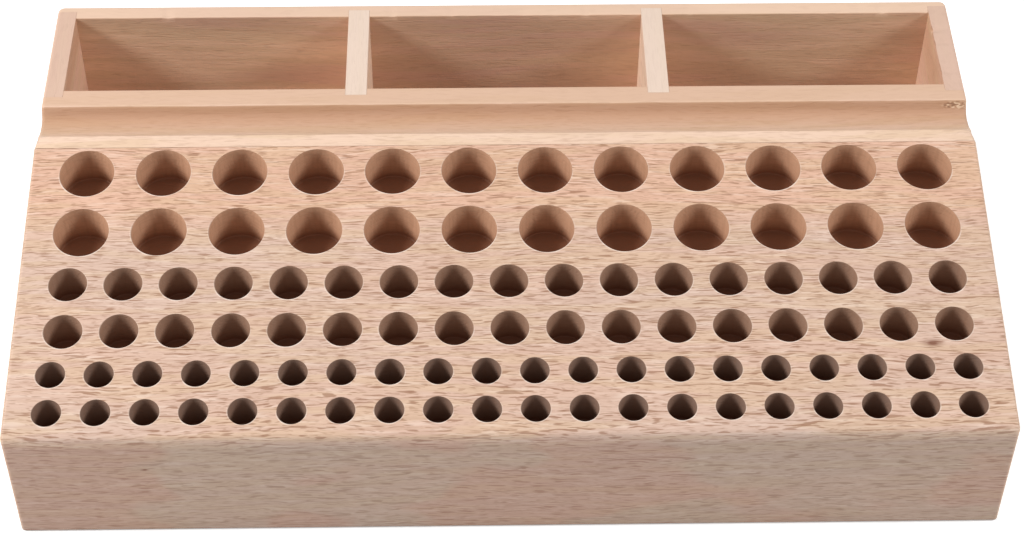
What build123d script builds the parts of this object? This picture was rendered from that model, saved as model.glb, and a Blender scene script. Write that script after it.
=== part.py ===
from build123d import *
import math
import os

# Wooden tool holder block in bare beech: a solid block with a sloping top, drilled with rows of blind
# holes, a grooved board glued to its back, and an open tray of three bays behind that board.
# Millimetres. X runs along the block, Y from its front face to the back of the tray, Z up.
# The origin is the middle of the underside. Places along Y are set out as distances from the front face.

# Drilled block
overall_width = 249.5
front_height = 37.2
slope_angle = 10.0
least_side_wood = 7.0
rear_wood = 0.8

# Holes, drilled upright, each depth taken on the hole's axis from the sloping face
large_bore = 14.4
medium_bore = 9.8
small_bore = 7.4
large_pitch = 20.0
medium_pitch = 14.0
small_pitch = 12.0
bore_depth = 9.0

# Wood left in front of each row, from the front row to the rear one
wood_before_row_1 = 3.5
wood_before_row_2 = 3.3
wood_before_row_3 = 3.7
wood_before_row_4 = 4.0
wood_before_row_5 = 3.6
wood_before_row_6 = 3.9

# Grooved board: a land that carries the slope on, a round groove, then the front rim of the tray
board_thickness = 22.3
land_width = 3.8
rim_width = 6.3
rim_below_crest = 0.55
groove_depth = 3.3
groove_heel_radius = 3.3
groove_flank_angle = 60.0

# Tray
bay_length = 29.7
rear_wall_thickness = 5.0
end_wall_thickness = 5.4
divider_thickness = 5.8
left_divider_place = -40.4
right_divider_place = 41.5
housing_depth = 2.7
floor_thickness = 5.0
floor_lift = 3.0

# Glue line between two glued faces, and the softened edges. A rear corner's rounding takes at most a share
# of the wood that is left outside the housings.
glue_line = 0.1
front_edge_radius = 1.5
arris_radius = 1.0
rim_radius = 1.2
rear_corner_radius = 1.8
corner_wall_share = 0.8
fine_radius = 0.35
base_chamfer = 0.5

# How far a cutter runs past the face that it opens, and how closely an edge is picked by its place
overrun = 1.0
pick = 0.01

# One row of holes: bore, pitch and the wood left in front of it
rows = [
    (small_bore, small_pitch, wood_before_row_1),
    (small_bore, small_pitch, wood_before_row_2),
    (medium_bore, medium_pitch, wood_before_row_3),
    (medium_bore, medium_pitch, wood_before_row_4),
    (large_bore, large_pitch, wood_before_row_5),
    (large_bore, large_pitch, wood_before_row_6),
]

# Distances back from the front face
slope_rise = math.tan(math.radians(slope_angle))
block_depth = sum(bore + wood for bore, pitch, wood in rows) + rear_wood
board_front = block_depth + glue_line
crest = board_front + land_width
board_back = board_front + board_thickness
rear_wall_front = board_back + bay_length
overall_depth = rear_wall_front + rear_wall_thickness
front_y = -overall_depth / 2

# The rim of the whole tray lies a little below the crest, where the sloping land meets the groove
rim_height = front_height + crest * slope_rise - rim_below_crest

# The tray's insides: the end walls' inner faces, the floor's top and the tongues let into the housings
half_width = overall_width / 2
inner_half_width = half_width - end_wall_thickness
floor_top = floor_lift + floor_thickness
tongue = housing_depth - glue_line
tongue_ends = (board_back - tongue, rear_wall_front + tongue)
divider_places = (left_divider_place, right_divider_place)


def slope_height(distance):
    """Height of the sloping face at a distance back from the front face."""
    return front_height + distance * slope_rise


def box_between(x_pair, distances, heights):
    """A box between two X values, two distances from the front face and two heights."""
    low_x, high_x = sorted(x_pair)
    box = Box(
        high_x - low_x,
        distances[1] - distances[0],
        heights[1] - heights[0],
        align=(Align.MIN, Align.MIN, Align.MIN),
    )
    return Pos(low_x, front_y + distances[0], heights[0]) * box


def at_place(edges, axis, place):
    """The edges that lie wholly at one place on an axis."""
    return edges.filter_by_position(axis, place - pick, place + pick)


def row_bores(bore, pitch, distance):
    """The cutters of one row of holes, as many as leave the least wood at both sides."""
    count = int((overall_width - 2 * least_side_wood - bore) / pitch) + 1
    floor = slope_height(distance) - bore_depth
    height = slope_height(distance + bore) - floor
    cutter = Cylinder(bore / 2, height, align=(Align.CENTER, Align.CENTER, Align.MIN))
    first = -pitch * (count - 1) / 2
    return [Pos(first + i * pitch, front_y + distance, floor) * cutter for i in range(count)]


def all_bores():
    """The cutters of every row, set out one behind another from the front face."""
    cutters = []
    edge = 0.0
    for bore, pitch, wood in rows:
        cutters += row_bores(bore, pitch, edge + wood + bore / 2)
        edge += wood + bore
    return cutters


def soften_ends(solid, kept_places):
    """Round the outline of both end faces, except at the base and at the faces that are glued."""
    outline = solid.faces().filter_by(Axis.X).edges()
    kept = at_place(outline, Axis.Z, 0)
    for place in kept_places:
        kept += at_place(outline, Axis.Y, front_y + place)
    return fillet([edge for edge in outline if edge not in kept], arris_radius)


def drilled_block():
    """The block with its sloping top, rounded front edge and rows of blind holes."""
    with BuildPart() as blank:
        with BuildSketch(Plane.YZ):
            with BuildLine():
                Polyline(
                    (front_y, 0),
                    (front_y, front_height),
                    (front_y + block_depth, slope_height(block_depth)),
                    (front_y + block_depth, 0),
                    close=True,
                )
            make_face()
        extrude(amount=half_width, both=True)
    block = fillet(at_place(blank.part.edges(), Axis.Z, front_height), front_edge_radius)
    block = soften_ends(block, [block_depth])
    foot = at_place(block.edges(), Axis.Z, 0)
    glued = at_place(foot, Axis.Y, front_y + block_depth)
    block = chamfer([edge for edge in foot if edge not in glued], base_chamfer)
    return block - all_bores()


def groove_section():
    """Where the groove bottoms out, and the radius and turn of its long near side."""
    turn = math.radians(groove_flank_angle)
    heel_rise = groove_heel_radius * (1 - math.cos(turn))
    flank_run = (groove_depth - heel_rise) / math.tan(turn)
    bottom = board_back - rim_width - flank_run - groove_heel_radius * math.sin(turn)
    run = bottom - crest
    drop = slope_height(crest) - (rim_height - groove_depth)
    near_radius = (run * run + drop * drop) / (2 * drop)
    near_turn = math.degrees(math.asin(run / near_radius))
    return bottom, near_radius, near_turn


def wall_cutters(distances):
    """What is cut from a long tray wall: a rebate per end wall, a groove for the floor and the housings."""
    rebate = end_wall_thickness + glue_line
    full_height = (-overrun, rim_height + overrun)
    cutters = [
        box_between((side * (half_width - rebate), side * (half_width + overrun)), distances, full_height)
        for side in (-1, 1)
    ]
    groove_reach = inner_half_width + overrun
    cutters.append(box_between((-groove_reach, groove_reach), distances, (floor_lift, floor_top + glue_line)))
    half_housing = divider_thickness / 2 + glue_line
    for place in divider_places:
        housing = (place - half_housing, place + half_housing)
        cutters.append(box_between(housing, distances, (floor_lift, rim_height + overrun)))
    return cutters


def grooved_board():
    """The moulded board: land, round groove and rim, cut on its back for the tray's other pieces."""
    bottom, near_radius, near_turn = groove_section()
    lowest = (front_y + bottom, rim_height - groove_depth)
    with BuildPart() as blank:
        with BuildSketch(Plane.YZ):
            with BuildLine():
                heel = JernArc(lowest, (1, 0), groove_heel_radius, groove_flank_angle)
                near_side = JernArc(lowest, (-1, 0), near_radius, -near_turn)
                Polyline(
                    heel @ 1,
                    (front_y + board_back - rim_width, rim_height),
                    (front_y + board_back, rim_height),
                    (front_y + board_back, 0),
                    (front_y + board_front, 0),
                    (front_y + board_front, slope_height(board_front)),
                    near_side @ 1,
                )
            make_face()
        extrude(amount=half_width, both=True)
    long_edges = blank.part.edges().filter_by(Axis.X)
    board = fillet(at_place(long_edges, Axis.Y, front_y + board_back - rim_width), rim_radius)
    board = fillet(at_place(board.edges().filter_by(Axis.X), Axis.Y, front_y + crest), fine_radius)
    board = soften_ends(board, [board_front, board_back])
    rim_edges = at_place(board.edges().filter_by(Axis.X), Axis.Z, rim_height)
    board = fillet(at_place(rim_edges, Axis.Y, front_y + board_back), fine_radius)
    return board - wall_cutters((board_back - housing_depth, board_back + overrun))


def rear_wall():
    """The back of the tray, with rounded outer corners, cut on its front for the other pieces."""
    wall = box_between((-half_width, half_width), (rear_wall_front, overall_depth), (0, rim_height))
    corner_radius = min(rear_corner_radius, corner_wall_share * (rear_wall_thickness - housing_depth))
    corners = at_place(wall.edges().filter_by(Axis.Z), Axis.Y, front_y + overall_depth)
    wall = fillet(corners, corner_radius)
    rim_edges = at_place(wall.edges(), Axis.Z, rim_height)
    inner_edges = at_place(rim_edges, Axis.Y, front_y + rear_wall_front)
    wall = fillet([edge for edge in rim_edges if edge not in inner_edges], arris_radius)
    rim_edges = at_place(wall.edges().filter_by(Axis.X), Axis.Z, rim_height)
    wall = fillet(at_place(rim_edges, Axis.Y, front_y + rear_wall_front), fine_radius)
    return wall - wall_cutters((rear_wall_front - overrun, rear_wall_front + housing_depth))


def end_wall(side):
    """One end of the tray, let into the board and the rear wall. Side is -1 at the left, 1 at the right."""
    wall = box_between((side * half_width, side * inner_half_width), tongue_ends, (0, rim_height))
    rim_edges = at_place(wall.edges().filter_by(Axis.Y), Axis.Z, rim_height)
    wall = fillet(at_place(rim_edges, Axis.X, side * half_width), arris_radius)
    rim_edges = at_place(wall.edges().filter_by(Axis.Y), Axis.Z, rim_height)
    wall = fillet(at_place(rim_edges, Axis.X, side * inner_half_width), fine_radius)
    floor_groove = box_between(
        (side * (inner_half_width + housing_depth), side * (inner_half_width - overrun)),
        (tongue_ends[0] - overrun, tongue_ends[1] + overrun),
        (floor_lift, floor_top + glue_line),
    )
    return wall - floor_groove


def divider(place):
    """One divider, standing on the floor with both ends let into their housings."""
    half = divider_thickness / 2
    blank = box_between((place - half, place + half), tongue_ends, (floor_top + glue_line, rim_height))
    rim_edges = at_place(blank.edges().filter_by(Axis.Y), Axis.Z, rim_height)
    return fillet(rim_edges, fine_radius)


def tray_floor():
    """The floor panel, held in the grooves of all four walls."""
    reach = inner_half_width + tongue
    return box_between((-reach, reach), tongue_ends, (floor_lift, floor_top))


pieces = {
    "drilled_block": drilled_block(),
    "grooved_board": grooved_board(),
    "rear_wall": rear_wall(),
    "end_wall_left": end_wall(-1),
    "end_wall_right": end_wall(1),
    "divider_left": divider(left_divider_place),
    "divider_right": divider(right_divider_place),
    "tray_floor": tray_floor(),
}

os.makedirs("parts", exist_ok=True)
for name, piece in pieces.items():
    piece.label = name
    export_step(piece, "parts/" + name + ".step")
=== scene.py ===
import math
from functools import partial

import bmesh
import bpy
import numpy as np
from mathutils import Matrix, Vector, noise


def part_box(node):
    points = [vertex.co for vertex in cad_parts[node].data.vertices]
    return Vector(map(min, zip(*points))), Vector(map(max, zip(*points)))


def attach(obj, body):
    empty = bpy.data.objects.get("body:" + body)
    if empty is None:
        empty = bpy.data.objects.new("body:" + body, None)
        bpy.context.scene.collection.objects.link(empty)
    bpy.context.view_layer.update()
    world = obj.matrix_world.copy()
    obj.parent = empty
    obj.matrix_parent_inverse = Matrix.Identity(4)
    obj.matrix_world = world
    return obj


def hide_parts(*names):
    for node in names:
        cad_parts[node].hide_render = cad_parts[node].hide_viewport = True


bl_info = {
    "name": "Wooden Tool Holder Block",
    "version": (1, 0, 0),
    "blender": (4, 5, 0),
    "location": "View3D > Sidebar > Tool Block",
    "description": "Builds a beech tool holder block with drilled rows, a groove and an open tray",
    "category": "Add Mesh",
}

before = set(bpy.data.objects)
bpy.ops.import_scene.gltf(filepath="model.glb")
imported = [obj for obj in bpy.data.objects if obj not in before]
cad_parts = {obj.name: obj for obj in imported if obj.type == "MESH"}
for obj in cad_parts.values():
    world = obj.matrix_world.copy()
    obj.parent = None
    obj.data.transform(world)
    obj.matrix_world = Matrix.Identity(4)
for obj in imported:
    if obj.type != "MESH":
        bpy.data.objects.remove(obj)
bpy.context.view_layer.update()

MM = 0.001

# Steps of the block's mesh: along it, round an edge, up its front face and slope, and round a hole
LENGTH_STEPS = 60
EDGE_STEPS = 6
FACE_STEPS = 8
SLOPE_STEPS = 24
HOLE_STEPS = 48

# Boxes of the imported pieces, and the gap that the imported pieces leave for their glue
block_low, block_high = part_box("drilled_block")
board_low, board_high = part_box("grooved_board")
wall_low, wall_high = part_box("rear_wall")
CROSS_NAMES = ("end_wall_left", "end_wall_right", "divider_left", "divider_right")
cross_boxes = [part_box(name) for name in CROSS_NAMES]
glue_gap = board_low.y - block_high.y

# What the block's points carry for its material, each from 0 to 1: whether they are on a hole's wall, how
# deep they are in the hole and how narrow the hole is (both for painted shade), and how much of the mouth's
# torn lip and its painted highlight they have
HOLE_LAYERS = ("hole_wall", "hole_depth", "hole_shade", "mouth_lip")

# Pin knots of the block, each with its place and its reach across the grain in millimetres: one between
# two rows at the right, and a smaller one on the front face at the left
PIN_KNOTS = (((105.9, -47.0, 41.5), 1.9), ((-90.7, -71.5, 24.8), 0.7))

# Streaks in the wood: their size in millimetres along X, Y and Z, or along the grain, round the pith and
# out from it, and the two levels of noise between which they fade in
FRONT_SHADE_ZONES = ((48.0, 22.0, 22.0), 0.46, 0.54)
DRILL_SCRATCHES = ((0.9, 0.9, 9.0), 0.42, 0.72)
DRILL_RINGS = ((4.0, 4.0, 0.4), 0.5, 0.7)
RAISED_FIBRES = ((1.0, 0.45, 0.45), 0.54, 0.6)
TORN_PITS = ((1.0, 0.45, 0.45), 0.45, 0.39)
FINE_FIBRES = ((14.0, 0.4, 0.4), 0.35, 0.75)
COLOUR_CLOUDS = ((85.0, 16.0, 16.0), 0.36, 0.64)
STRAW_BANDS = ((32.0, 2.6, 2.6), 0.42, 0.62)
END_RAYS = ((5.0, 0.5, 6.0), 0.5, 0.7)

# How the grain wanders, by millimetres along the board and by a few tenths round each ray: the length and
# the width that one bend takes, and how far it leads
GRAIN_BENDS = ((110.0, 40.0, 9.0), (7.0, 2.4, 1.0))


def linear(code):
    """The linear colour of an sRGB hex code."""
    parts = [int(code[i : i + 2], 16) / 255 for i in (1, 3, 5)]
    return tuple(p / 12.92 if p <= 0.04045 else ((p + 0.055) / 1.055) ** 2.4 for p in parts)


def colour_property(name, description, code):
    """A colour that the user can change, given as an sRGB hex code."""
    return bpy.props.FloatVectorProperty(
        name=name,
        description=description,
        subtype="COLOR",
        size=3,
        min=0.0,
        max=1.0,
        default=linear(code),
    )


def length_property(name, description, millimetres):
    """A length that the user can change, given in millimetres."""
    return bpy.props.FloatProperty(
        name=name,
        description=description,
        subtype="DISTANCE",
        unit="LENGTH",
        min=0.0,
        precision=5,
        default=millimetres * MM,
    )


class ToolBlockShape(bpy.types.PropertyGroup):
    """Sizes of the faces, edges, joints and worn places."""

    slope: bpy.props.FloatProperty(
        name="Slope",
        description="Angle of the drilled face to the base",
        subtype="ANGLE",
        unit="ROTATION",
        default=math.radians(10.0),
    )
    front_radius: length_property("Front edge radius", "Rounding from the front face to the slope", 1.5)
    arris_radius: length_property("Arris radius", "Rounding of the edges at both ends", 1.0)
    base_chamfer: length_property("Base chamfer", "Chamfer round the foot of the block", 0.5)
    mouth_lip: length_property("Mouth lip", "Mean width of the torn lip round each hole's mouth", 0.3)
    lip_height: length_property("Lip height", "How far the torn fibres stand proud of the slope", 0.035)
    mouth_ease: length_property("Mouth ease", "How far a mouth's edge is eased into the hole", 0.16)
    floor_fillet: length_property("Floor fillet", "Rounding between a hole's wall and its floor", 0.45)
    land_width: length_property("Land width", "Sloping land between the seam and the groove", 3.8)
    rim_width: length_property("Rim width", "Width of the tray's front rim", 6.3)
    fine_radius: length_property("Fine radius", "Rounding of the tray's edges as packed", 0.35)
    crisp_radius: length_property("Crisp radius", "Rounding of edges that were hardly eased", 0.1)
    tight_joint: length_property("Tight joint", "Gap where a piece is let into another", 0.02)
    edge_wear: length_property("Edge wear", "How unevenly an edge was eased by hand", 0.12)
    knocked_end: length_property("Knocked end", "How far the crest's ends are knocked off", 0.7)
    torn_edge: length_property("Torn edge", "How deep the grain tore out of the tray's edges", 0.8)


class ToolBlockWood(bpy.types.PropertyGroup):
    """Colours and surface of the beech."""

    rosy: colour_property("Rosy wood", "Main tone of the drilled block", "#D3B6A5")
    warm: colour_property("Warm wood", "Orange zones at the rear holes and in the walls", "#DBB29A")
    pale: colour_property("Pale wood", "Grooved board and the dividers' faces", "#E6C7B0")
    rim: colour_property("Rim wood", "Worn flat of the board's rim", "#CEA98F")
    # Painted light: rear rim, end rim and blond paint the upward faces of the rear wall, end walls and
    # dividers paler than their sides; rear rim is also the dividers' second tone
    rear_rim: colour_property("Rear rim wood", "Worn top of the rear wall", "#D9BBA5")
    end_rim: colour_property("End rim wood", "Worn tops of the end walls", "#CFB1A0")
    blond: colour_property("Blond wood", "Worn tops of the dividers", "#DECABB")
    russet: colour_property("Russet wood", "Rear wall and floor of the tray", "#F4CFAF")
    tawny: colour_property("Tawny wood", "Faces of the end walls", "#CDA285")
    # Painted shade in the groove, darkest under the rim
    groove_shade: colour_property("Moulded wood", "Groove, darkened by the cutter", "#AB7C5B")
    fleck: colour_property("Flecks", "Dark ray flecks, late wood and drill marks", "#8E6145")
    bright: colour_property("Bright fibres", "Pale fibres between the flecks", "#FFF0E2")
    end_wood: colour_property("End wood", "Sawn end grain", "#C0A188")
    drilled: colour_property("Drilled wood", "Wall of the widest holes", "#C79B7D")
    shaded: colour_property("Shaded wood", "Wall of the narrowest holes", "#8F7465")
    # Painted shade: darkens a hole's wall towards its foot and floor
    deep_hole_shade: colour_property("Burnished wood", "Foot and floor of a drilled hole", "#74412A")
    # Painted shade: brownish zones that make the front face darker than the top
    front_shade_brown: colour_property("Handled wood", "Brownish zones of the front face", "#93705F")
    # Painted shade: greyish zones that make the front face darker than the top
    front_shade_grey: colour_property("Grime", "Greyed zones of the front face", "#917D6D")
    # Painted shadow: dark colour along the foot, where the block meets the floor
    foot: colour_property("Foot", "Dirt along the foot of the front face", "#6E5A4C")
    # Pale crushed fibres with a painted highlight, strongest along each mouth's front edge
    lip: colour_property("Torn lip", "Crushed pale fibres at a hole's mouth", "#FBEBDF")
    straw: colour_property("Straw bands", "Yellowish bands along the grain", "#D3B68F")
    torn_pale: colour_property("Torn pale", "Raised fibres where the grain tore out", "#F6DFC0")
    torn_dark: colour_property("Torn dark", "Pits where the grain tore out", "#5A3B28")
    knot: colour_property("Pin knots", "Small brown knots", "#6E3A22")
    roughness: bpy.props.FloatProperty(
        name="Roughness",
        description="Roughness of the planed and sanded wood",
        subtype="FACTOR",
        min=0.0,
        max=1.0,
        default=0.58,
    )
    ring_width: length_property("Ring width", "Width of one year's growth", 2.4)
    fleck_length: length_property("Fleck length", "Length of a ray fleck along the grain", 4.5)
    fleck_width: length_property("Fleck width", "Thickness of a ray fleck across the grain", 0.33)
    ray_height: length_property("Ray height", "Height of a ray towards the pith", 2.5)
    pith_distance: length_property("Pith distance", "Mean distance from the log's pith", 112.0)


class ToolBlockStage(bpy.types.PropertyGroup):
    """Floor, light and camera."""

    floor: colour_property("Floor", "Plain pale floor", "#F6F9FB")
    floor_reach: length_property("Floor reach", "How far the floor reaches to each side", 6000.0)
    glow: bpy.props.FloatProperty(
        name="Floor glow",
        description="Light that the floor gives off itself",
        min=0.0,
        default=0.27,
    )
    sky: bpy.props.FloatProperty(
        name="Sky light",
        description="Strength of the even light from all round",
        min=0.0,
        default=0.32,
    )
    left_light: bpy.props.FloatProperty(
        name="Left light",
        description="Power of the soft box at the left",
        unit="POWER",
        min=0.0,
        default=12.3,
    )
    right_light: bpy.props.FloatProperty(
        name="Right light",
        description="Power of the soft box at the right",
        unit="POWER",
        min=0.0,
        default=8.1,
    )
    box_width: length_property("Box width", "Width of a soft box", 380.0)
    box_height: length_property("Box height", "Height of a soft box", 260.0)
    box_place: bpy.props.FloatVectorProperty(
        name="Box place",
        description="Where the right soft box stands; the left one mirrors it",
        subtype="TRANSLATION",
        unit="LENGTH",
        size=3,
        precision=5,
        default=(0.92, -0.09, 0.72),
    )
    box_aim: bpy.props.FloatVectorProperty(
        name="Box aim",
        description="The place that both soft boxes face",
        subtype="TRANSLATION",
        unit="LENGTH",
        size=3,
        precision=5,
        default=(0.0, 0.0, 0.04),
    )
    lens: bpy.props.FloatProperty(
        name="Lens",
        description="Focal length for the sensor's width",
        unit="CAMERA",
        min=1.0,
        default=81.00668,
    )
    sensor_width: bpy.props.FloatProperty(
        name="Sensor width",
        description="Width of the camera's sensor",
        unit="CAMERA",
        min=1.0,
        default=36.0,
    )
    camera_place: bpy.props.FloatVectorProperty(
        name="Camera place",
        description="Where the camera stands",
        subtype="TRANSLATION",
        unit="LENGTH",
        size=3,
        precision=5,
        default=(-0.00899733, -0.4252281, 0.47578433),
    )
    camera_turn: bpy.props.FloatVectorProperty(
        name="Camera turn",
        description="The camera's rotation about X, Y and Z",
        subtype="EULER",
        unit="ROTATION",
        size=3,
        default=(math.radians(43.05009), math.radians(-0.345264), math.radians(-1.027876)),
    )


def add_node(tree, kind, inputs, output=0, **settings):
    """Add one shader node with its settings, link or fill its inputs, and give one of its outputs."""
    made = tree.nodes.new("ShaderNode" + kind)
    for name, value in settings.items():
        setattr(made, name, value)
    for place, value in inputs.items():
        if isinstance(value, bpy.types.NodeSocket):
            tree.links.new(value, made.inputs[place])
        else:
            made.inputs[place].default_value = value
    return made.outputs[output] if made.outputs else None


def streaks(tree, place, size, low, high, detail=0.0):
    """A mask of soft streaks, sized in millimetres along three axes and cut between two noise levels."""
    per_length = [1 / length for length in size]
    scaled = add_node(tree, "VectorMath", {0: place, 1: per_length}, operation="MULTIPLY")
    cloud = add_node(tree, "TexNoise", {"Vector": scaled, "Scale": 1.0, "Detail": detail})
    return add_node(tree, "MapRange", {0: cloud, 1: low, 2: high}, interpolation_type="SMOOTHSTEP")


def glazed(tree, tone, mask, colour, share=1.0):
    """A tone with a colour laid over it where a mask is set, by at most a share."""
    amount = add_node(tree, "Math", {0: mask, 1: share}, operation="MULTIPLY")
    return add_node(tree, "Mix", {0: amount, 6: tone, 7: (*colour, 1.0)}, 2, data_type="RGBA")


def away_from(tree, here, place, along):
    """The distance from a place in millimetres, with what lies along the grain counted at a share."""
    offset = add_node(tree, "VectorMath", {0: here, 1: place}, operation="SUBTRACT")
    squeezed = add_node(tree, "VectorMath", {0: offset, 1: (along, 1.0, 1.0)}, operation="MULTIPLY")
    return add_node(tree, "VectorMath", {0: squeezed}, 1, operation="LENGTH")


def spots(tree, tone, here, marks, colour):
    """A tone with marks twice as long as high, each a soft halo round a darker core.

    Each mark has its place and its reach across the grain in millimetres."""
    for place, reach in marks:
        away = away_from(tree, here, place, 0.5)

        # Halo and core: where each begins and is full, as shares of the reach, and how strong it is
        halo = (1.0, 0.3, 0.4, "SMOOTHSTEP")
        core = (0.45, 0.2, 0.7, "LINEAR")
        for outside, inside, share, blend in (halo, core):
            reaches = {0: away, 1: outside * reach, 2: inside * reach}
            mask = add_node(tree, "MapRange", reaches, interpolation_type=blend)
            tone = glazed(tree, tone, mask, colour, share=share)
    return tone


def drilled_finish(tree, tone, here, facing):
    """The drilled block's own zones: painted shade on the front face and a painted shadow along its foot,
    hole walls with painted shade, torn lips with a painted highlight, and pin knots.
    """
    wood = bpy.context.scene.tool_block_wood
    node = partial(add_node, tree)
    wall, depth, shade, lip = (node("Attribute", {}, 2, attribute_name=name) for name in HOLE_LAYERS)
    height = node("SeparateXYZ", {0: here}, 2)

    # The front face is painted darker and greyer than the top, as painted shade, in brownish and greyish
    # zones with soft borders, and over its top few millimetres the painted shade fades out to the edge.
    # Painted shadow lies within a millimetre of the bench
    edge = slope_at(block_low.y) / MM
    fade = 4.4
    most_front_shade = 0.56
    front = node("MapRange", {0: node("SeparateXYZ", {0: facing}, 1), 1: -0.55, 2: -0.95})
    below_edge = node("MapRange", {0: height, 1: edge, 2: edge - fade})
    front = node("Math", {0: front, 1: below_edge}, operation="MULTIPLY")
    zones = streaks(tree, here, *FRONT_SHADE_ZONES, detail=2.0)
    front_shade_tone = glazed(tree, (*wood.front_shade_grey, 1.0), zones, wood.front_shade_brown)
    front_shade_share = node("Math", {0: front, 1: most_front_shade}, operation="MULTIPLY")
    tone = node("Mix", {0: front_shade_share, 6: tone, 7: front_shade_tone}, 2, data_type="RGBA")
    # Painted shadow along the foot, where the chamfer meets the floor
    low = node("MapRange", {0: height, 1: 0.9, 2: 0.3})
    tone = glazed(tree, tone, low, wood.foot, share=0.7)

    # Hole walls are painted darker in narrow holes and towards the foot, as painted shade, with upright
    # scratches and faint rings
    scratches = streaks(tree, here, *DRILL_SCRATCHES)
    rings = streaks(tree, here, *DRILL_RINGS)
    wall_tone = glazed(tree, (*wood.drilled, 1.0), shade, wood.shaded)
    wall_tone = glazed(tree, wall_tone, depth, wood.deep_hole_shade, share=0.7)
    wall_tone = glazed(tree, wall_tone, scratches, wood.fleck, share=0.14)
    wall_tone = glazed(tree, wall_tone, rings, wood.fleck, share=0.12)
    tone = node("Mix", {0: wall, 6: tone, 7: wall_tone}, 2, data_type="RGBA")
    # Torn lips: pale crushed fibres and a painted highlight, strongest at the front of each mouth
    tone = glazed(tree, tone, lip, wood.lip, share=0.65)
    return spots(tree, tone, here, PIN_KNOTS, wood.knot)


def torn_grain(tree, tone, here, place, reach):
    """A tone with a patch of torn grain round a place, in millimetres: pale fibres beside dark pits."""
    wood = bpy.context.scene.tool_block_wood
    away = away_from(tree, here, place, 0.35)
    reaches = {0: away, 1: reach, 2: 0.4 * reach}
    patch = add_node(tree, "MapRange", reaches, interpolation_type="SMOOTHSTEP")
    for pattern, colour in ((RAISED_FIBRES, wood.torn_pale), (TORN_PITS, wood.torn_dark)):
        marks = streaks(tree, here, *pattern)
        mask = add_node(tree, "Math", {0: patch, 1: marks}, operation="MULTIPLY")
        tone = glazed(tree, tone, mask, colour, share=0.5)
    return tone


def moulded_finish(tree, tone, here, facing):
    """The board's own zones: painted shade in the groove, darkest under the rim, the worn rim and a torn
    patch at its end.
    """
    wood = bpy.context.scene.tool_block_wood
    shape = bpy.context.scene.tool_block_shape
    node = partial(add_node, tree)

    # Places across the board, in millimetres: the groove runs from the crest to the rim's front edge
    across = node("SeparateXYZ", {0: here}, 1)
    crest = (board_low.y + shape.land_width) / MM
    rim = (board_high.y - shape.rim_width) / MM
    # Painted shade: the groove darkens from the crest towards the rim, darkest just under it
    rise = node("MapRange", {0: across, 1: crest - 0.6, 2: rim - 2.0})
    stop = node("MapRange", {0: across, 1: rim + 0.15, 2: rim - 0.1})
    groove_shade_mask = node("Math", {0: rise, 1: stop}, operation="MULTIPLY")
    tone = glazed(tree, tone, groove_shade_mask, wood.groove_shade, share=0.75)
    flat = node("MapRange", {0: across, 1: rim - 0.05, 2: rim + 0.4})
    tone = glazed(tree, tone, flat, wood.rim, share=0.75)

    # The torn patch lies at the right end, just under the rim's front edge
    torn_place = (board_high.x / MM - 3.4, rim - 0.6, board_high.z / MM - 2.0)
    return torn_grain(tree, tone, here, torn_place, reach=1.5)


def top_painted_light(colour, tree, tone, here, facing):
    """A wall's own zone: faces that point up are painted paler than its sides, as painted light from above.
    """
    up = add_node(tree, "SeparateXYZ", {0: facing}, 2)
    # Painted light: faces that point up are paler
    top = add_node(tree, "MapRange", {0: up, 1: 0.3, 2: 0.9})
    return glazed(tree, tone, top, colour, share=0.75)


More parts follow.
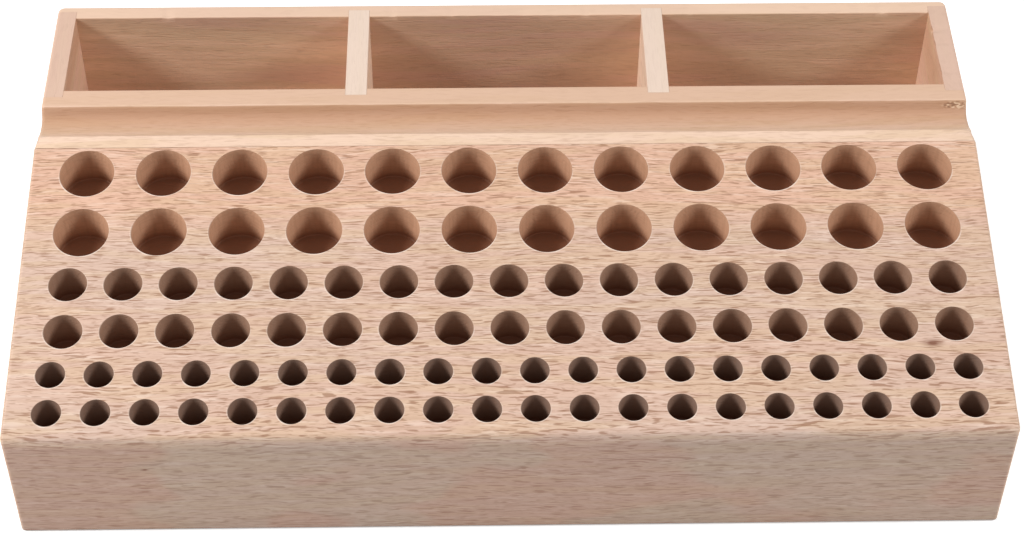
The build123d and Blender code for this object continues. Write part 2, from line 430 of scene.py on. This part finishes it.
def beech(name, offset, pith, colours, figure=1.0, warm_from=None, along_y=False, finish=None):
    """Planed and lightly sanded beech, as a solid pattern that runs through the piece.

    To the eye it is pale, matt and slightly rosy, full of short dark ray flecks along the grain, with the
    growth rings as faint soft bands. The offset in millimetres picks another part of the log for each
    piece, pith is the log's centre line in Y and Z, and figure is how strongly the flecks show. The two
    colours change in clouds, and from a place along Y on the second one takes over. A ray is drawn some
    three times as thick as a real one, so that it shows."""
    wood = bpy.context.scene.tool_block_wood
    material = bpy.data.materials.new(name)
    material.use_nodes = True
    tree = material.node_tree
    tree.nodes.clear()
    node = partial(add_node, tree)

    # Millimetres on the piece, and millimetres in the log with the grain on X
    here = node("VectorMath", {0: node("TexCoord", {}, "Object"), 3: 1 / MM}, operation="SCALE")
    facing = node("TexCoord", {}, "Normal")
    grain, grain_facing = here, facing
    if along_y:
        grain = node("VectorRotate", {0: here, 3: math.pi / 2}, rotation_type="Z_AXIS")
        grain_facing = node("VectorRotate", {0: facing, 3: math.pi / 2}, rotation_type="Z_AXIS")
    grain = node("VectorMath", {0: grain, 1: offset}, operation="ADD")

    for bend_length, bend_width, lead in GRAIN_BENDS:
        per_length = (1 / bend_length, 1 / bend_width, 1 / bend_width)
        scaled = node("VectorMath", {0: grain, 1: per_length}, operation="MULTIPLY")
        cloud = node("TexNoise", {"Vector": scaled, "Scale": 1.0, "Detail": 1.0}, 1)
        grain = node("VectorMath", {0: cloud, 1: (0.0, lead, lead), 2: grain}, operation="MULTIPLY_ADD")

    # Round the pith: the radius gives the years, and the rays are ribbons that stand on it
    from_pith = node("VectorMath", {0: grain, 1: (0.0, *pith)}, operation="SUBTRACT")
    along, across, up = (node("SeparateXYZ", {0: from_pith}, i) for i in range(3))
    radius = node("VectorMath", {0: node("CombineXYZ", {1: across, 2: up})}, 1, operation="LENGTH")
    years = node("Math", {0: radius, 1: wood.ring_width / MM}, operation="DIVIDE")
    late_wood = node("MapRange", {0: node("Math", {0: years}, operation="FRACT"), 1: 0.4, 2: 0.95})
    turn = node("Math", {0: across, 1: up}, operation="ARCTAN2")
    round_pith = node("Math", {0: turn, 1: wood.pith_distance / MM}, operation="MULTIPLY")
    ray_place = node("CombineXYZ", {0: along, 1: round_pith, 2: radius})

    length, width, height = wood.fleck_length / MM, wood.fleck_width / MM, wood.ray_height / MM
    long_flecks = streaks(tree, ray_place, (length, width, height), 0.6, 0.7)
    short_flecks = streaks(tree, ray_place, (length * 0.45, width * 0.7, height * 0.6), 0.6, 0.72)
    bright_fibres = streaks(tree, ray_place, (length * 2.0, width * 1.6, height), 0.45, 0.25)
    fine_fibres = streaks(tree, grain, *FINE_FIBRES, detail=2.0)
    clouds = streaks(tree, grain, *COLOUR_CLOUDS, detail=1.0)

    if warm_from is not None:
        border = 6.0
        faint = node("Math", {0: clouds, 1: 0.35}, operation="MULTIPLY")
        place_y = node("SeparateXYZ", {0: here}, 1)
        rear = node("MapRange", {0: place_y, 1: warm_from - border, 2: warm_from + border})
        clouds = node("Math", {0: faint, 1: rear}, operation="MAXIMUM")

    # The planed face
    tone = glazed(tree, (*colours[0], 1.0), clouds, colours[1])
    tone = glazed(tree, tone, streaks(tree, grain, *STRAW_BANDS), wood.straw, share=0.3)
    tone = glazed(tree, tone, late_wood, wood.fleck, share=0.05)
    tone = glazed(tree, tone, fine_fibres, wood.fleck, share=0.2 * figure)
    tone = glazed(tree, tone, bright_fibres, wood.bright, share=0.18 * figure)
    tone = glazed(tree, tone, long_flecks, wood.fleck, share=0.64 * figure)
    tone = glazed(tree, tone, short_flecks, wood.fleck, share=0.36 * figure)

    # End grain is darker, with the years as arcs and the rays as fine pale lines across them
    end_face = node("Math", {0: node("SeparateXYZ", {0: grain_facing}, 0)}, operation="ABSOLUTE")
    end_face = node("MapRange", {0: end_face, 1: 0.35, 2: 0.85})
    end_tone = glazed(tree, (*wood.end_wood, 1.0), late_wood, wood.fleck, share=0.35)
    end_tone = glazed(tree, end_tone, streaks(tree, ray_place, *END_RAYS), wood.pale, share=0.3)
    tone = node("Mix", {0: end_face, 6: tone, 7: end_tone}, 2, data_type="RGBA")
    if finish:
        tone = finish(tree, tone, here, facing)

    # The flecks and fibres lie a little below the face
    marks = node("Math", {0: long_flecks, 1: fine_fibres}, operation="ADD")
    relief = node("Math", {0: marks, 1: -0.5}, operation="MULTIPLY")
    bump = node("Bump", {"Height": relief, "Strength": 0.4, "Distance": 0.12 * MM})
    shader = node(
        "BsdfPrincipled",
        {
            "Base Color": tone,
            "Roughness": wood.roughness,
            "IOR": 1.5,
            "Specular IOR Level": 0.3,
            "Normal": bump,
        },
    )
    node("OutputMaterial", {0: shader})
    return material


def wavering(amount, *place):
    """A small smooth wander, the same on every run, for an edge that hand and tool left uneven.

    A place is given in metres times the waves per metre, or as a bare number where it stays the same."""
    return amount * noise.noise(Vector(place))


def find_holes():
    """Centre, floor height and radius of each hole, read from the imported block's level hole floors."""
    # A hole's floor lies above this height, and two neighbours' floors are further apart than this
    above_base = 5 * MM
    closest = 2 * MM
    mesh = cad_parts["drilled_block"].data
    level = [p for p in mesh.polygons if p.normal.z > 0.999 and p.center.z > above_base]
    rows = {}
    for polygon in level:
        for index in polygon.vertices:
            point = mesh.vertices[index].co
            rows.setdefault(round(point.z / MM, 2), []).append(tuple(point))
    holes = []
    for height in sorted(rows):
        points = np.array(sorted(set(rows[height])))
        breaks = np.nonzero(np.diff(points[:, 0]) > closest)[0] + 1
        for group in np.split(points, breaks):
            low, high = group.min(0), group.max(0)
            middle = (low + high) / 2
            holes.append((middle[0], middle[1], middle[2], (high[0] - low[0]) / 2))
    return holes


def slope_at(y):
    """Height of the sloping face at a place along Y."""
    shape = bpy.context.scene.tool_block_shape
    return block_high.z - (block_high.y - y) * math.tan(shape.slope)


def arc_points(centre, radius, start, end, count):
    """Points of an arc in Y and Z, angles in degrees."""
    angles = [math.radians(start + (end - start) * i / count) for i in range(count + 1)]
    return [(centre[0] + radius * math.cos(a), centre[1] + radius * math.sin(a)) for a in angles]


def spaced(first, last, count):
    """Evenly spaced numbers from first to last, both included."""
    return [first + (last - first) * i / count for i in range(count + 1)]


def end_inset(x, half, radius):
    """How far the rounding of an end draws the outline in at a place along X."""
    past = abs(x) - (half - radius)
    if past <= 0:
        return 0.0
    return radius - math.sqrt(max(radius * radius - past * past, 0.0))


def end_stations(half, radius):
    """Places along X from one end to the other: close together on the rounded ends."""
    turn = [radius * math.sin(math.radians(a)) for a in spaced(0, 90, EDGE_STEPS)]
    right = [half - radius + t for t in turn]
    left = [-x for x in reversed(right)]
    return left + spaced(-half + radius, half - radius, LENGTH_STEPS)[1:-1] + right


def block_outline(inset, end_lift, x):
    """The block's outline in Y and Z from the base's rear edge round the front to the top's rear edge."""
    shape = bpy.context.scene.tool_block_shape
    radius, chamfer = shape.front_radius, shape.base_chamfer
    slope_cos = math.cos(shape.slope)
    top = slope_at(block_low.y)
    centre = (block_low.y + radius, top + radius * math.tan(shape.slope) - radius / slope_cos)
    foot = max(end_lift, 0.0)
    points = [(block_high.y, foot), (block_low.y + inset + chamfer, foot)]
    face = block_low.y + inset
    points += [(face, z) for z in spaced(chamfer + foot * 0.5, centre[1], FACE_STEPS)[:-1]]
    points += arc_points(centre, radius - inset, 180, 90 + math.degrees(shape.slope), EDGE_STEPS)
    start = points[-1]
    end = (block_high.y, slope_at(block_high.y) - inset / slope_cos)
    points += [
        (y, start[1] + (end[1] - start[1]) * (y - start[0]) / (end[0] - start[0]))
        for y in spaced(start[0], end[0], SLOPE_STEPS)[1:]
    ]
    return [Vector((x, y, z)) for y, z in points]


def worn_inset(inset, radius, x, y, z):
    """An end's inset, a little more or less along the edge where it was eased by hand."""
    return inset + wavering(0.3, x * 400, y * 220, z * 220) * inset * (1 - 0.5 * inset / radius)


def add_ring(mesh, points):
    """Add one ring of vertices."""
    return [mesh.verts.new(p) for p in points]


def join_rings(mesh, first, second, skip=()):
    """Faces between two rings with the same number of vertices, leaving out some segments."""
    count = len(first)
    for i in range(count):
        if i not in skip:
            j = (i + 1) % count
            mesh.faces.new((first[i], first[j], second[j], second[i]))


def piece_from(mesh, name, material, *nodes):
    """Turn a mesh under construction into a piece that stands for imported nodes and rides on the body.

    Planed faces are shaded flat, and rounded edges, the groove and the holes smooth."""
    bmesh.ops.recalc_face_normals(mesh, faces=mesh.faces[:])
    data = bpy.data.meshes.new(name)
    mesh.to_mesh(data)
    mesh.free()
    sharp_turn, planed_turn = math.radians(38), math.radians(1.2)
    data.set_sharp_from_angle(angle=sharp_turn)
    slope = bpy.context.scene.tool_block_shape.slope
    sloping = (0, -math.sin(slope), math.cos(slope))
    flat_ways = [Vector(way) for way in ((1, 0, 0), (0, 1, 0), (0, 0, 1), sloping)]
    for polygon in data.polygons:
        lined_up = max(abs(polygon.normal.dot(way)) for way in flat_ways)
        polygon.use_smooth = lined_up < math.cos(planed_turn)
    piece = bpy.data.objects.new(name, data)
    bpy.context.scene.collection.objects.link(piece)
    data.materials.append(material)
    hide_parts(*nodes)
    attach(piece, "root")
    return piece


def add_hole(mesh, hole, layers, shade, seed):
    """One drilled hole: a torn lip on the slope, widest in front, then the wall down to a flat floor."""
    shape = bpy.context.scene.tool_block_shape
    x, y, floor, radius = hole
    angles = [2 * math.pi * i / HOLE_STEPS for i in range(HOLE_STEPS)]
    out_of_round = 0.006 * radius
    tears_round = 2.2
    next_hole = 3.1

    def ring(reach, torn, wall, lift=0.0, level=None, depth=0.0):
        """A ring at a reach outside the bore, lifted over the slope or level at a height.

        What it carries for the material: how much of the torn lip's pale fibres and painted highlight it
        has, whether it is on the wall, and how deep."""
        points = []
        for a in angles:
            near = 0.5 - 0.5 * math.sin(a)
            tear = wavering(1.0, math.cos(a) * tears_round, math.sin(a) * tears_round, seed * next_hole)
            uneven_reach = reach * (0.8 + 0.5 * near + 0.5 * tear)
            r = radius + out_of_round * math.sin(2 * a + seed) + uneven_reach
            px, py = x + r * math.cos(a), y + r * math.sin(a)
            pz = level if level is not None else slope_at(py) + lift * (0.5 + near + 0.8 * tear)
            # The lip's paleness, strongest in front, is partly a painted highlight where the edge faces the
            # light
            points.append((Vector((px, py, pz)), torn * near * near * (0.9 + 1.2 * tear)))
        made = add_ring(mesh, [p for p, _ in points])
        for vertex, (_, amount) in zip(made, points):
            vertex[layers["mouth_lip"]] = min(max(amount, 0.0), 1.0)
            vertex[layers["hole_wall"]] = wall
            vertex[layers["hole_depth"]] = depth
            vertex[layers["hole_shade"]] = shade
        return made

    lip, ease, fillet = shape.mouth_lip, shape.mouth_ease, shape.floor_fillet
    wall_reach = -0.03 * MM

    # Out on the slope, up on the torn fibres, at the bore's edge and just inside it, then down to the floor
    rings = [
        ring(lip, torn=0.0, wall=0.0),
        ring(lip * 0.45, torn=1.0, wall=0.0, lift=shape.lip_height),
        ring(0.0, torn=1.0, wall=0.0, lift=-ease * 0.35),
        ring(wall_reach, torn=0.0, wall=1.0, lift=-ease * 1.6),
    ]
    top = slope_at(y - radius) - 1.2 * ease
    for share in (0.12, 0.5, 0.8, 1.0):
        level = top + (floor + fillet - top) * share
        rings.append(ring(wall_reach, torn=0.0, wall=1.0, level=level, depth=share**4))
    for turn in (35, 90):
        inward = fillet * (1 - math.cos(math.radians(turn)))
        rise = fillet * (1 - math.sin(math.radians(turn)))
        rings.append(ring(wall_reach - inward, torn=0.0, wall=1.0, level=floor + rise, depth=1.0))
    for first, second in zip(rings, rings[1:]):
        join_rings(mesh, first, second)
    mesh.faces.new(rings[-1])


def build_block():
    """The drilled block as one solid: rounded front edge, eased ends and every hole with its torn lip."""
    shape = bpy.context.scene.tool_block_shape
    mesh = bmesh.new()
    for name in HOLE_LAYERS:
        mesh.verts.layers.float.new(name)
    layers = {name: mesh.verts.layers.float[name] for name in HOLE_LAYERS}
    half = block_high.x
    radius, chamfer = shape.arris_radius, shape.base_chamfer
    rings = []
    for x in end_stations(half, radius):
        inset = end_inset(x, half, radius)
        lift = chamfer - (half - abs(x))
        points = block_outline(inset, lift, x)
        if inset > 0:
            for point in points:
                amount = worn_inset(inset, radius, x, point.y, point.z) - inset
                point.x -= math.copysign(amount * 0.5, x)
        rings.append(add_ring(mesh, points))

    # The slope stays open between the rounded ends, to be filled in round the holes
    last = len(rings[0]) - 1
    opening = set(range(last - SLOPE_STEPS, last))
    full = [i for i, ring in enumerate(rings) if end_inset(ring[0].co.x, half, radius) == 0.0]
    for i, (first, second) in enumerate(zip(rings, rings[1:])):
        inside = full[0] <= i < full[-1]
        join_rings(mesh, first, second, skip=opening if inside else ())
    for ring in (rings[0], rings[-1]):
        mesh.faces.new(ring)
    holes = find_holes()
    bores = [hole[3] for hole in holes]
    for i, hole in enumerate(holes):
        shade = (max(bores) - hole[3]) / (max(bores) - min(bores))
        add_hole(mesh, hole, layers, shade, i)
    edges = [e for e in mesh.edges if e.is_boundary]
    bmesh.ops.triangle_fill(mesh, use_beauty=True, use_dissolve=False, edges=edges)
    wood = bpy.context.scene.tool_block_wood
    material = beech(
        "planed_beech_block",
        offset=(310.0, 40.0, 15.0),
        pith=(60.0, -35.0),
        colours=(wood.rosy, wood.warm),
        warm_from=-10.0,
        finish=drilled_finish,
    )
    return piece_from(mesh, "drilled_block_wood", material, "drilled_block")


def closed_joint(point):
    """Where a point of a long piece goes so that its housings fit the cross pieces tightly."""
    gap, tight = glue_gap, bpy.context.scene.tool_block_shape.tight_joint
    moved = point.copy()
    for low, high in cross_boxes:
        if not low.y - 1.5 * gap < point.y < high.y + 1.5 * gap:
            continue
        for axis in (0, 1):
            for side, face in ((-1, low[axis]), (1, high[axis])):
                if abs(point[axis] - face - side * gap) < 0.1 * gap:
                    moved[axis] = face + side * tight
    return moved


def worn_board(point):
    """A point of the board: tight joints, crest and rim unevenly eased, the crest's ends knocked off."""
    shape = bpy.context.scene.tool_block_shape
    moved = closed_joint(point)
    crest = board_low.y + shape.land_width
    rim = board_high.y - shape.rim_width
    knock_length = 3 * MM
    knock_width = 2.2 * MM
    knock_height = 3 * MM
    if point.z > board_high.z - knock_height:
        from_end = max(1.0 - (board_high.x - abs(point.x)) / knock_length, 0.0)
        knock = from_end * max(1.0 - abs(point.y - crest) / knock_width, 0.0)
        moved.x -= math.copysign(shape.knocked_end * knock, point.x)
        moved.z -= shape.knocked_end * knock
    eased_height = 1.5 * MM
    for y, eased_width in ((crest, 0.6 * MM), (rim, 1.5 * MM)):
        near = max(1.0 - abs(point.y - y) / eased_width, 0.0)
        if point.z > board_high.z - eased_height:
            moved.z -= near * abs(wavering(2.0 * shape.edge_wear, point.x * 90, y * 700, 0.5))
    return moved


def worn_rear_wall(point):
    """A point of the rear wall, with tight joints and small nicks along its inner top edge."""
    shape = bpy.context.scene.tool_block_shape
    moved = closed_joint(point)
    radius = 1.01 * shape.fine_radius
    if point.z > wall_high.z - radius and point.y < wall_low.y + radius:
        nick = max(wavering(1.0, point.x * 240, 3.0, 8.0) - 0.24, 0.0) * shape.torn_edge
        moved.y += nick * 0.5
        moved.z -= nick
    return moved


def worn_cross_piece(low, high, point):
    """A point of a divider or end wall, with its inner edges crisp, and torn along the right end wall."""
    shape = bpy.context.scene.tool_block_shape
    moved = point.copy()
    radius = shape.fine_radius
    keep = shape.crisp_radius / radius
    joint_length = 3 * MM
    past_joint = min(point.y - low.y, high.y - point.y) / joint_length - 1.0
    torn = shape.torn_edge * min(max(past_joint, 0.0), 1.0)
    for face in (low.x, high.x):
        outer = abs(abs(face) - block_high.x) < radius
        near = abs(point.x - face) <= 1.01 * radius and high.z - point.z <= 1.01 * radius
        if near and not outer:
            moved.x = face + (point.x - face) * keep
            moved.z = high.z + (point.z - high.z) * keep
            if face > 0 and high.x > block_high.x - radius:
                tear = max(wavering(2.2, point.y * 260, point.y * 35, 4.0), 0.0) * torn
                moved.x += tear * (0.4 + 2.0 * (high.z - moved.z) / radius)
                moved.z -= tear * 0.8
    return moved


def worn_copy(name, node, material, move, axis=0, step=2.5 * MM):
    """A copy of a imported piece, cut into short lengths along an axis, with every point moved a little."""
    mesh = bmesh.new()
    mesh.from_mesh(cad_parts[node].data)
    bmesh.ops.remove_doubles(mesh, verts=mesh.verts[:], dist=0.001 * MM)
    bmesh.ops.dissolve_limit(
        mesh,
        angle_limit=math.radians(0.5),
        verts=mesh.verts[:],
        edges=mesh.edges[:],
        delimit={"NORMAL"},
    )
    low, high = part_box(node)
    margin = 1.4 * MM
    count = round((high[axis] - low[axis] - 2 * margin) / step)
    direction = [1.0 if i == axis else 0.0 for i in range(3)]
    places = spaced(low[axis] + margin, high[axis] - margin, count)
    cuts = [([place * d for d in direction], direction) for place in places]

    # One level cut under the top, so that a worn edge bends only a narrow strip of the faces below it
    strip = 1.6 * MM
    touching = 1e-7
    cuts.append(((0.0, 0.0, high.z - strip), (0.0, 0.0, 1.0)))
    for place, across in cuts:
        parts = mesh.verts[:] + mesh.edges[:] + mesh.faces[:]
        bmesh.ops.bisect_plane(mesh, geom=parts, dist=touching, plane_co=place, plane_no=across)
    for vertex in mesh.verts:
        vertex.co = move(vertex.co)
    return piece_from(mesh, name, material, node)


class ToolBlockBuildBlock(bpy.types.Operator):
    """Build the drilled block with its sloping top and rows of holes"""

    bl_idname = "tool_block.build_block"
    bl_label = "Drilled Block"

    def execute(self, context):
        build_block()
        return {"FINISHED"}


class ToolBlockBuildBoard(bpy.types.Operator):
    """Build the grooved board behind the drilled block"""

    bl_idname = "tool_block.build_board"
    bl_label = "Grooved Board"

    def execute(self, context):
        wood = context.scene.tool_block_wood
        material = beech(
            "planed_beech_board",
            offset=(900.0, 12.0, 80.0),
            pith=(80.0, 10.0),
            colours=(wood.pale, wood.pale),
            figure=0.28,
            finish=moulded_finish,
        )
        worn_copy("grooved_board_wood", "grooved_board", material, worn_board)
        return {"FINISHED"}


class ToolBlockBuildTray(bpy.types.Operator):
    """Build the tray's rear wall, end walls, dividers and floor"""

    bl_idname = "tool_block.build_tray"
    bl_label = "Tray"

    def execute(self, context):
        wood = context.scene.tool_block_wood
        long_wood = beech(
            "planed_beech_rear_wall",
            offset=(50.0, 70.0, 33.0),
            pith=(250.0, 55.0),
            colours=(wood.russet, wood.warm),
            figure=0.22,
            finish=partial(top_painted_light, wood.rear_rim),
        )
        worn_copy("rear_wall_wood", "rear_wall", long_wood, worn_rear_wall, step=0.9 * MM)
        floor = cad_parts["tray_floor"]
        floor.data.materials.clear()
        floor.data.materials.append(long_wood)
        end_wood = beech(
            "planed_beech_end_walls",
            offset=(20.0, 0.0, 9.0),
            pith=(0.0, 35.0),
            colours=(wood.tawny, wood.warm),
            figure=0.3,
            along_y=True,
            finish=partial(top_painted_light, wood.end_rim),
        )
        divider_wood = beech(
            "planed_beech_dividers",
            offset=(95.0, 0.0, 3.0),
            pith=(0.0, -75.0),
            colours=(wood.pale, wood.rear_rim),
            figure=0.3,
            along_y=True,
            finish=partial(top_painted_light, wood.blond),
        )
        for node, (low, high) in zip(CROSS_NAMES, cross_boxes):
            material = end_wood if node.startswith("end_wall") else divider_wood
            move = partial(worn_cross_piece, low, high)
            worn_copy(node + "_wood", node, material, move, axis=1, step=0.7 * MM)
        return {"FINISHED"}


class ToolBlockBuildStage(bpy.types.Operator):
    """Build the pale floor, the soft light and the camera"""

    bl_idname = "tool_block.build_stage"
    bl_label = "Stage"

    def execute(self, context):
        scene = context.scene
        stage = scene.tool_block_stage
        scene.view_settings.view_transform = "Standard"

        # Painted board: matt, pale and even, with a faint glow of its own that keeps it near white
        material = bpy.data.materials.new("painted_floor")
        material.use_nodes = True
        shader = material.node_tree.nodes["Principled BSDF"]
        shader.inputs["Base Color"].default_value = (*stage.floor, 1.0)
        shader.inputs["Roughness"].default_value = 0.9
        shader.inputs["Emission Color"].default_value = (1.0, 1.0, 1.0, 1.0)
        shader.inputs["Emission Strength"].default_value = stage.glow
        mesh = bmesh.new()
        reach = stage.floor_reach
        corners = [(-reach, -reach), (reach, -reach), (reach, reach), (-reach, reach)]
        mesh.faces.new([mesh.verts.new((x, y, 0.0)) for x, y in corners])
        data = bpy.data.meshes.new("floor")
        mesh.to_mesh(data)
        mesh.free()
        data.materials.append(material)
        floor = bpy.data.objects.new("floor", data)
        scene.collection.objects.link(floor)

        world = bpy.data.worlds.new("even_sky")
        world.use_nodes = True
        background = world.node_tree.nodes["Background"]
        background.inputs["Color"].default_value = (1.0, 1.0, 1.0, 1.0)
        background.inputs["Strength"].default_value = stage.sky
        scene.world = world

        # Two soft boxes, low enough that their light reaches the hole walls but not the hole floors
        sides = ((-1, "soft_box_left", stage.left_light), (1, "soft_box_right", stage.right_light))
        for side, name, power in sides:
            lamp = bpy.data.lights.new(name, "AREA")
            lamp.shape = "RECTANGLE"
            lamp.size = stage.box_width
            lamp.size_y = stage.box_height
            lamp.energy = power
            soft_box = bpy.data.objects.new(name, lamp)
            out, along, up = stage.box_place
            soft_box.location = (side * out, along, up)
            aim = Vector(stage.box_aim) - soft_box.location
            soft_box.rotation_euler = aim.to_track_quat("-Z", "Y").to_euler()
            scene.collection.objects.link(soft_box)

        view = bpy.data.cameras.new("camera")
        view.lens = stage.lens
        view.sensor_width = stage.sensor_width
        camera = bpy.data.objects.new("camera", view)
        camera.location = stage.camera_place
        camera.rotation_euler = stage.camera_turn
        scene.collection.objects.link(camera)
        scene.camera = camera
        return {"FINISHED"}


class ToolBlockPanel(bpy.types.Panel):
    """Lists the steps that build the tool block."""

    bl_idname = "VIEW3D_PT_tool_block"
    bl_label = "Tool Block"
    bl_space_type = "VIEW_3D"
    bl_region_type = "UI"
    bl_category = "Tool Block"

    def draw(self, context):
        for step in build_steps:
            self.layout.operator(step.bl_idname)
        for group, name in property_groups:
            box = self.layout.box()
            settings = getattr(context.scene, name)
            for key in group.__annotations__:
                box.prop(settings, key)


property_groups = (
    (ToolBlockShape, "tool_block_shape"),
    (ToolBlockWood, "tool_block_wood"),
    (ToolBlockStage, "tool_block_stage"),
)
build_steps = (ToolBlockBuildStage, ToolBlockBuildBlock, ToolBlockBuildBoard, ToolBlockBuildTray)


def register():
    for group, name in property_groups:
        bpy.utils.register_class(group)
        setattr(bpy.types.Scene, name, bpy.props.PointerProperty(type=group))
    for step in build_steps:
        bpy.utils.register_class(step)
    bpy.utils.register_class(ToolBlockPanel)


def unregister():
    bpy.utils.unregister_class(ToolBlockPanel)
    for step in reversed(build_steps):
        bpy.utils.unregister_class(step)
    for group, name in reversed(property_groups):
        delattr(bpy.types.Scene, name)
        bpy.utils.unregister_class(group)


def main():
    register()
    bpy.ops.tool_block.build_stage()
    bpy.ops.tool_block.build_block()
    bpy.ops.tool_block.build_board()
    bpy.ops.tool_block.build_tray()


if __name__ == "__main__":
    main()
